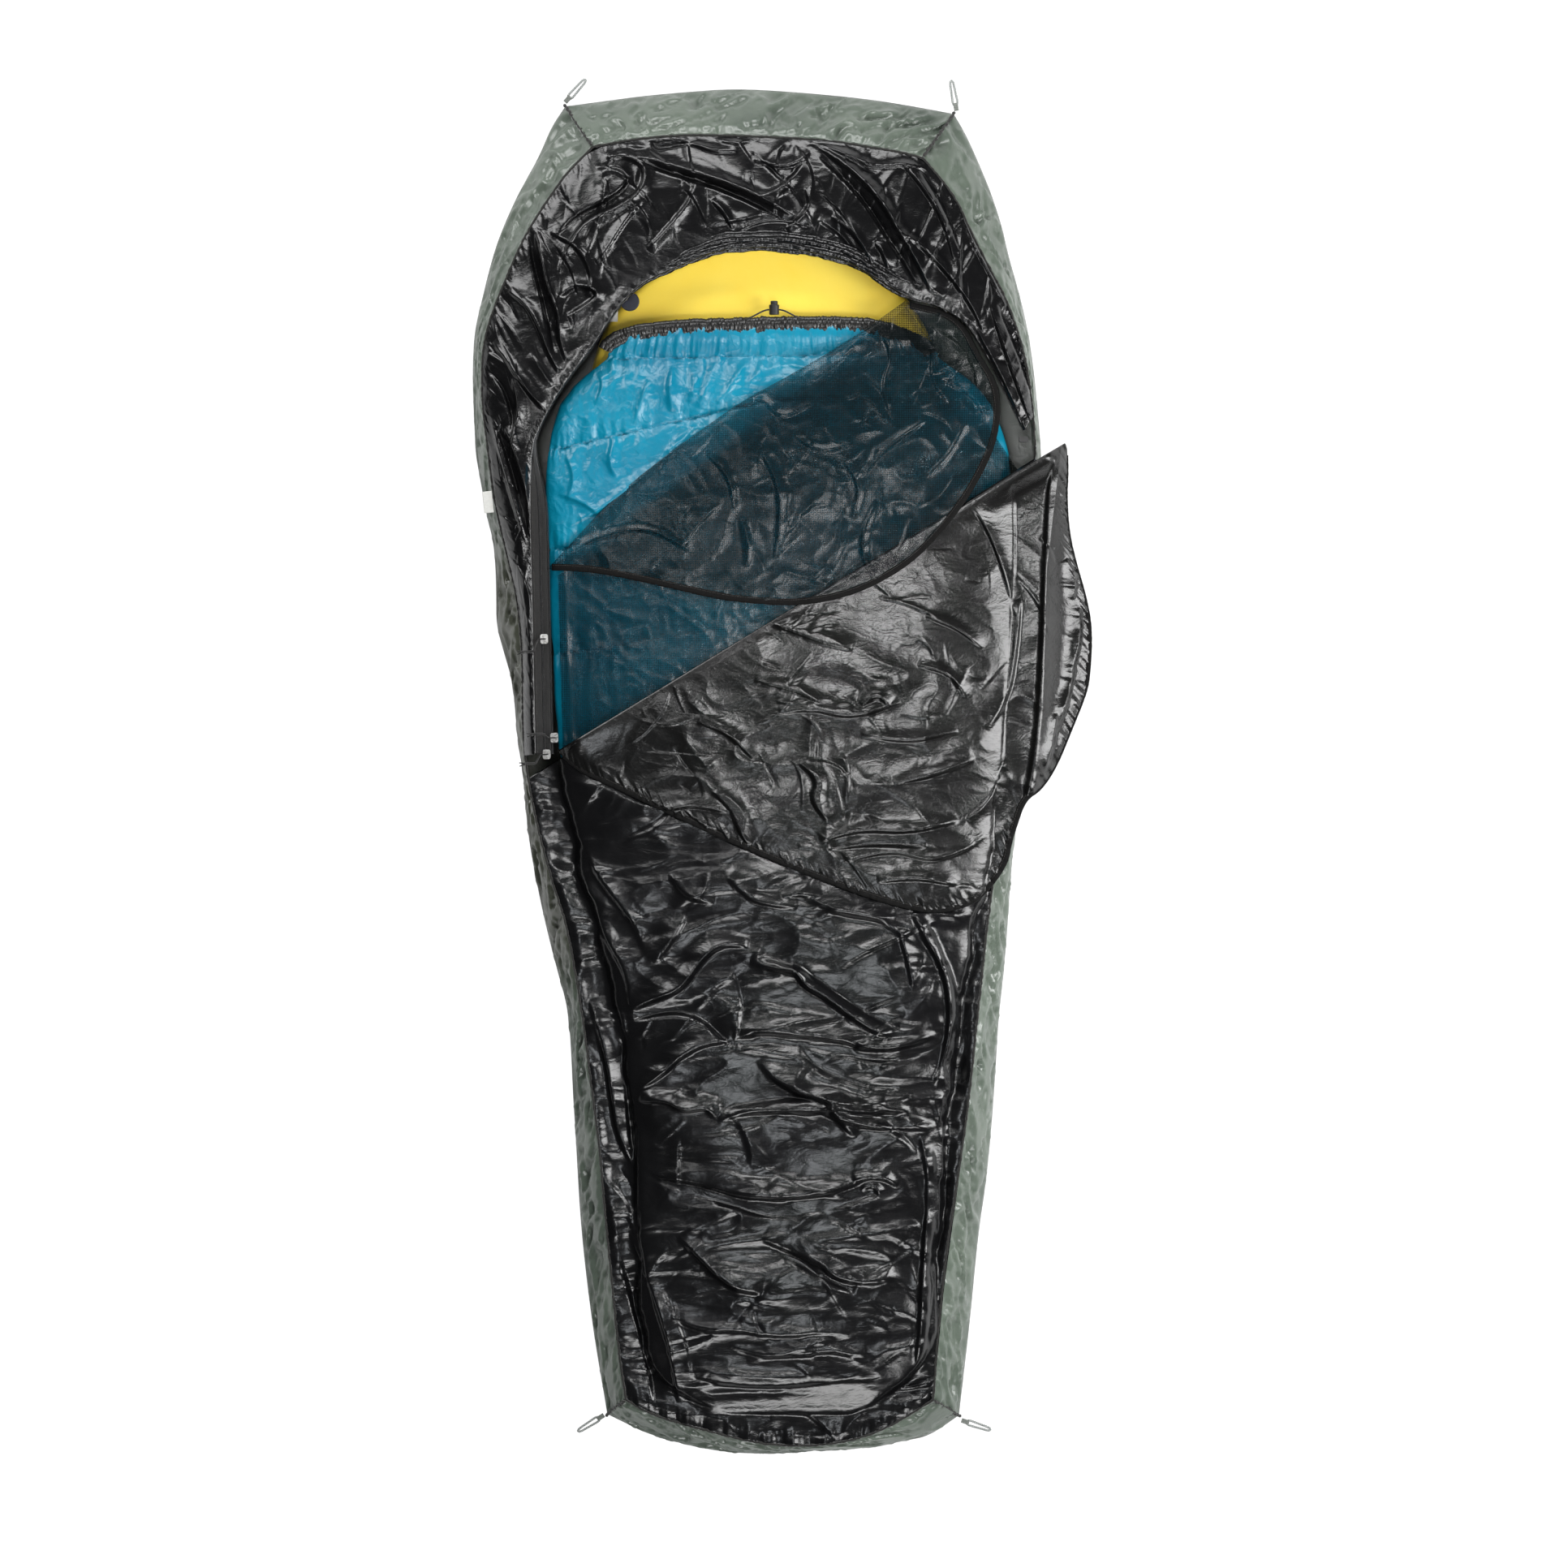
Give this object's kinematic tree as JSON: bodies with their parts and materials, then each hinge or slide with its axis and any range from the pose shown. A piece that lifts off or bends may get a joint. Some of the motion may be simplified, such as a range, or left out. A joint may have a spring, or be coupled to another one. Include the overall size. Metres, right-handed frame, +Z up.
{
  "type": "bivy sack",
  "caption": "Bathtub-floored bivy sack with side-zipped storm door and insect-net door folded open, stake loops, and the mattress and sleeping bag it holds.",
  "frame": {"origin": "middle of the floor's underside, on the ground", "axes": "+Y to the head end, +X to the sleeper-facing-up's right as seen from above with the head at the top, +Z up"},
  "size_m": [0.975, 2.1686, 0.1416],
  "materials": {
    "tub_fabric": "coated nylon, satin",
    "top_fabric": "coated ripstop nylon, semi-gloss",
    "seam_binding": "gathered seam, matte",
    "zip_tape": "woven tape",
    "zip_coil": "nylon coil",
    "insect_net": "fine see-through net",
    "edge_binding": "grosgrain",
    "hard_plastic": "moulded",
    "loop_cord": "reflective cord",
    "woven_label": "blank woven label",
    "slider_metal": "plated zinc",
    "pull_cord": "braided cord",
    "mattress_fabric": "coated nylon, satin",
    "valve_plastic": "moulded",
    "bag_fabric": "downproof nylon, semi-gloss",
    "hem_fabric": "crinkled nylon",
    "spring_steel": "wire"
  },
  "bodies": {
    "sack": {"floor_panel": "tub_fabric", "tub_wall_left": "tub_fabric", "tub_wall_right": "tub_fabric", "tub_wall_head": "tub_fabric", "tub_wall_foot": "tub_fabric", "corner_seam_tapes": "seam_binding", "seam_tape": "seam_binding", "foot_panel": "top_fabric", "hood_panel": "top_fabric", "zip_draught_flap": "top_fabric", "storm_zip_tape": "zip_tape", "storm_zip_coil": "zip_coil", "net_zip_tape": "zip_tape", "net_zip_coil": "zip_coil", "zip_end_stop": "hard_plastic", "net_panel": "insect_net", "loop_anchor_tabs": "loop_cord", "woven_tag": "woven_label"},
    "storm_flap": {"storm_door": "top_fabric", "storm_door_binding": "edge_binding", "storm_door_coil": "zip_coil"},
    "net_flap": {"net_door": "insect_net", "net_door_binding": "edge_binding"},
    "upper_slider": {"storm_upper_slider": "slider_metal"},
    "upper_pull": {"storm_upper_pull_cord": "pull_cord"},
    "lower_slider": {"storm_lower_slider": "slider_metal"},
    "lower_pull": {"storm_lower_pull_cord": "pull_cord"},
    "inner_slider": {"net_slider": "slider_metal"},
    "inner_pull": {"net_pull_cord": "pull_cord"},
    "loop_head_left": {"stake_loop_head_left": "loop_cord"},
    "loop_head_right": {"stake_loop_head_right": "loop_cord"},
    "loop_foot_left": {"stake_loop_foot_left": "loop_cord"},
    "loop_foot_right": {"stake_loop_foot_right": "loop_cord"},
    "mattress": {"mattress_shell": "mattress_fabric", "mattress_valve_body": "valve_plastic", "mattress_tag": "woven_label"},
    "valve_cap": {"mattress_valve_cap": "valve_plastic"},
    "sleeping_bag": {"sleeping_bag_shell": "bag_fabric", "sleeping_bag_hem": "hem_fabric", "bag_drawcord": "pull_cord", "cord_lock_barrel": "hard_plastic", "cord_lock_spring": "spring_steel"},
    "cord_button": {"cord_lock_button": "hard_plastic"}
  },
  "joints": [
    {"name": "storm_door_fold", "type": "hinge", "parent": "sack", "child": "storm_flap", "pos_m": [-0.333, 0.029, 0.136], "axis": [-0.8549, -0.5188, 0], "range_deg": [0, 180], "deforming": ["net_door", "net_door_binding", "storm_upper_pull_cord", "storm_lower_pull_cord", "net_pull_cord"]},
    {"name": "net_door_fold", "type": "hinge", "parent": "sack", "child": "net_flap", "pos_m": [-0.3456, 0.32, 0.132], "axis": [-0.8011, -0.5985, 0], "range_deg": [0, 180], "deforming": ["storm_upper_pull_cord", "storm_lower_pull_cord", "net_pull_cord"]},
    {"name": "upper_slider_run", "type": "slide", "parent": "sack", "child": "upper_slider", "axis": [-0.022, 0.9998, 0], "range_m": [-0.1, 0.2], "deforming": ["storm_upper_pull_cord"]},
    {"name": "upper_pull_swing", "type": "hinge", "parent": "upper_slider", "child": "upper_pull", "pos_m": [-0.35556, 0.207, 0.1266], "axis": [-0.022, 0.9998, 0], "range_deg": [0, 140]},
    {"name": "lower_slider_run", "type": "slide", "parent": "sack", "child": "lower_slider", "axis": [-0.022, 0.9998, 0], "range_m": [0, 0.055], "deforming": ["storm_lower_pull_cord"]},
    {"name": "lower_pull_swing", "type": "hinge", "parent": "lower_slider", "child": "lower_pull", "pos_m": [-0.35157, 0.026, 0.1266], "axis": [-0.022, 0.9998, 0], "range_deg": [0, 140]},
    {"name": "inner_slider_run", "type": "slide", "parent": "sack", "child": "inner_slider", "axis": [-0.022, 0.9998, 0], "range_m": [-0.015, 0.355], "deforming": ["net_pull_cord"]},
    {"name": "inner_pull_swing", "type": "hinge", "parent": "inner_slider", "child": "inner_pull", "pos_m": [-0.33965, 0.052, 0.1216], "axis": [-0.022, 0.9998, 0], "range_deg": [0, 140]},
    {"name": "loop_head_left_lift", "type": "hinge", "parent": "sack", "child": "loop_head_left", "pos_m": [-0.318, 1.062, 0.0024], "axis": [0.7431, -0.6691, 0], "range_deg": [0, 85]},
    {"name": "loop_head_right_lift", "type": "hinge", "parent": "sack", "child": "loop_head_right", "pos_m": [0.291, 1.051, 0.0024], "axis": [0.9848, 0.1736, 0], "range_deg": [0, 85]},
    {"name": "loop_foot_left_lift", "type": "hinge", "parent": "sack", "child": "loop_foot_left", "pos_m": [-0.272, -1.021, 0.0024], "axis": [-0.5299, 0.848, 0], "range_deg": [0, 85]},
    {"name": "loop_foot_right_lift", "type": "hinge", "parent": "sack", "child": "loop_foot_right", "pos_m": [0.31, -1.027, 0.0024], "axis": [-0.309, -0.9511, 0], "range_deg": [0, 85]},
    {"name": "mattress_slide", "type": "slide", "parent": "sack", "child": "mattress", "axis": [0, 1, 0], "range_m": [0, 0.08]},
    {"name": "valve_cap_hinge", "type": "hinge", "parent": "mattress", "child": "valve_cap", "pos_m": [-0.2415, 0.738, 0.0653], "axis": [0, -1, 0], "range_deg": [0, 120]},
    {"name": "sleeping_bag_slide", "type": "slide", "parent": "sack", "child": "sleeping_bag", "axis": [0, 1, 0], "range_m": [0, 0.03]},
    {"name": "cord_lock_press", "type": "slide", "parent": "sleeping_bag", "child": "cord_button", "axis": [0, -1, 0], "range_m": [0, 0.002], "stiffness_N_per_m": 400, "deforming": ["cord_lock_spring"]}
  ]
}
